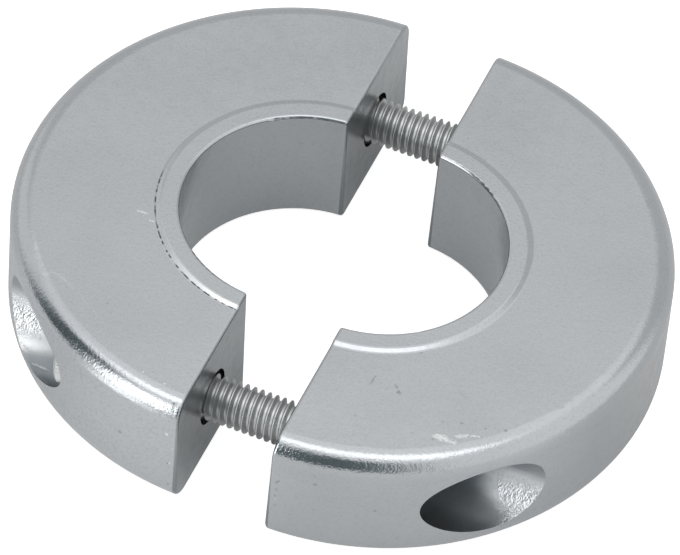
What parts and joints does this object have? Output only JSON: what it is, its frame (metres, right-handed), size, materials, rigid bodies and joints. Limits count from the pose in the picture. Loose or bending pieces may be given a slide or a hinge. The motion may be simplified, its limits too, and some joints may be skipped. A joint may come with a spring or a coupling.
{
  "type": "shaft collar sacrificial anode",
  "caption": "Split ring zinc anode that clamps round a propeller shaft, its two cast halves drawn together by socket cap screws.",
  "frame": {"origin": "on the flat back, midway between the two halves", "axes": "+Z along the shaft, from the flat back to the lipped front; +X along the screws, from their heads' half to the tapped half"},
  "size_m": [0.0844, 0.074, 0.0179],
  "materials": {
    "cast_zinc": "satin as-cast zinc",
    "stainless_steel": "bright stainless steel"
  },
  "bodies": {
    "head_side": {"left_half": "cast_zinc", "front_screw": "stainless_steel", "rear_screw": "stainless_steel"},
    "tapped_side": {"right_half": "cast_zinc"}
  },
  "joints": [
    {"name": "halves_close", "type": "slide", "parent": "head_side", "child": "tapped_side", "axis": [-1, 0, 0], "range_m": [0, 0.01045]}
  ]
}
